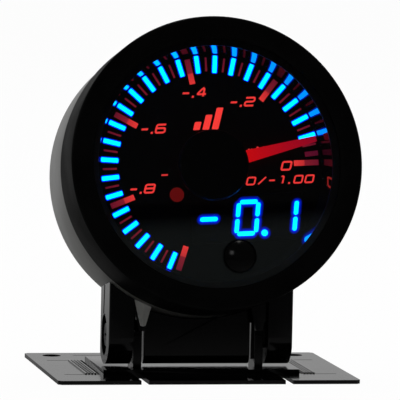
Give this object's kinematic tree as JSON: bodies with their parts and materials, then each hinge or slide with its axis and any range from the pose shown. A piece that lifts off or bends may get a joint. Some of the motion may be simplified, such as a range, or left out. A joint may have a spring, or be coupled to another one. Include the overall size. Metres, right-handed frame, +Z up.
{
  "type": "vacuum gauge",
  "caption": "Round electronic vacuum gauge with a lit scale, red pointer, digit display and push button, held in a cup on a small tilting stand.",
  "frame": {"origin": "centre of the base plate's underside", "axes": "+Z up, -Y towards the viewer of the dial, +X to the viewer's right; the gauge's own axis leans back 11 degrees in the YZ plane"},
  "size_m": [0.068, 0.0603, 0.0813],
  "materials": {
    "bezel_black": "satin",
    "cup_black": "satin",
    "stand_black": "gloss",
    "satin_black": "satin",
    "gloss_black": "gloss",
    "dial_black": "matte",
    "smoked_lens": "polished",
    "clear_plastic": "polished",
    "lit_blue": "lit from behind",
    "dark_segment": "unlit",
    "needle_red": "painted",
    "lamp_red": "unlit",
    "lamp_body": "gloss",
    "gear_plastic": "natural",
    "washer_plastic": "matte",
    "steel": "bright",
    "dark_steel": "blackened",
    "magnet_grey": "sintered",
    "copper": "wound wire",
    "contact_brass": "plated",
    "board_green": "solder mask",
    "socket_white": "natural",
    "gasket_rubber": "matte",
    "foam_grey": "foam tape"
  },
  "bodies": {
    "base": {"base_plate": "stand_black", "adhesive_pads": "foam_grey", "pivot_screws": "dark_steel", "pivot_washers": "washer_plastic"},
    "cup": {"cup": "cup_black", "cup_liner": "gasket_rubber", "left_leg": "stand_black", "right_leg": "stand_black", "centre_panel": "stand_black", "leg_screws": "steel"},
    "gauge": {"bezel_ring": "bezel_black", "lens": "smoked_lens", "lens_gasket": "gasket_rubber", "spacer_ring": "gloss_black", "dial": "dial_black", "tick_bars": "lit_blue", "light_guide": "clear_plastic", "rotor_pin": "steel", "stator": "steel", "coils": "copper", "motor_case": "satin_black", "motor_cover": "satin_black", "display_module": "dial_black", "lit_segments": "lit_blue", "dark_segments": "dark_segment", "warning_lens": "lamp_red", "warning_led": "lamp_body", "tick_leds": "lamp_body", "main_board": "board_green", "board_screws": "steel", "switch_body": "satin_black", "header_pins": "contact_brass", "connector_board": "board_green", "power_socket": "socket_white", "sensor_socket": "satin_black", "socket_pins": "contact_brass", "can": "satin_black", "rear_cover": "satin_black", "rear_screws": "steel"},
    "pointer": {"needle": "needle_red", "hub_cap": "dial_black", "spindle": "steel", "drive_wheel": "gear_plastic"},
    "rotor": {"pinion": "gear_plastic", "rotor_magnet": "magnet_grey"},
    "button": {"button_cap": "gloss_black", "switch_plunger": "gear_plastic"}
  },
  "joints": [
    {"name": "stand_tilt", "type": "hinge", "parent": "base", "child": "cup", "pos_m": [0, -0.0068, 0.00895], "axis": [1, 0, 0], "range_deg": [-20, 15]},
    {"name": "gauge_turn", "type": "hinge", "parent": "cup", "child": "gauge", "pos_m": [0, -0.0287, 0.0495], "axis": [0, -0.9816, 0.1908], "range_deg": [-30, 30]},
    {"name": "pointer_swing", "type": "hinge", "parent": "gauge", "child": "pointer", "pos_m": [0, -0.0287, 0.0495], "axis": [0, -0.9816, 0.1908], "range_deg": [-12.2, 236.8]},
    {"name": "rotor_spin", "type": "hinge", "parent": "gauge", "child": "rotor", "pos_m": [0.00055, -0.03108, 0.03724], "axis": [0, -0.9816, 0.1908], "range_deg": [-960, 60]},
    {"name": "button_press", "type": "slide", "parent": "gauge", "child": "button", "axis": [0, -0.9816, 0.1908], "range_m": [-0.0005, 0], "stiffness_N_per_m": 1500}
  ],
  "couplings": [
    {"joint": "rotor_spin", "follows": "pointer_swing", "ratio": -4}
  ]
}
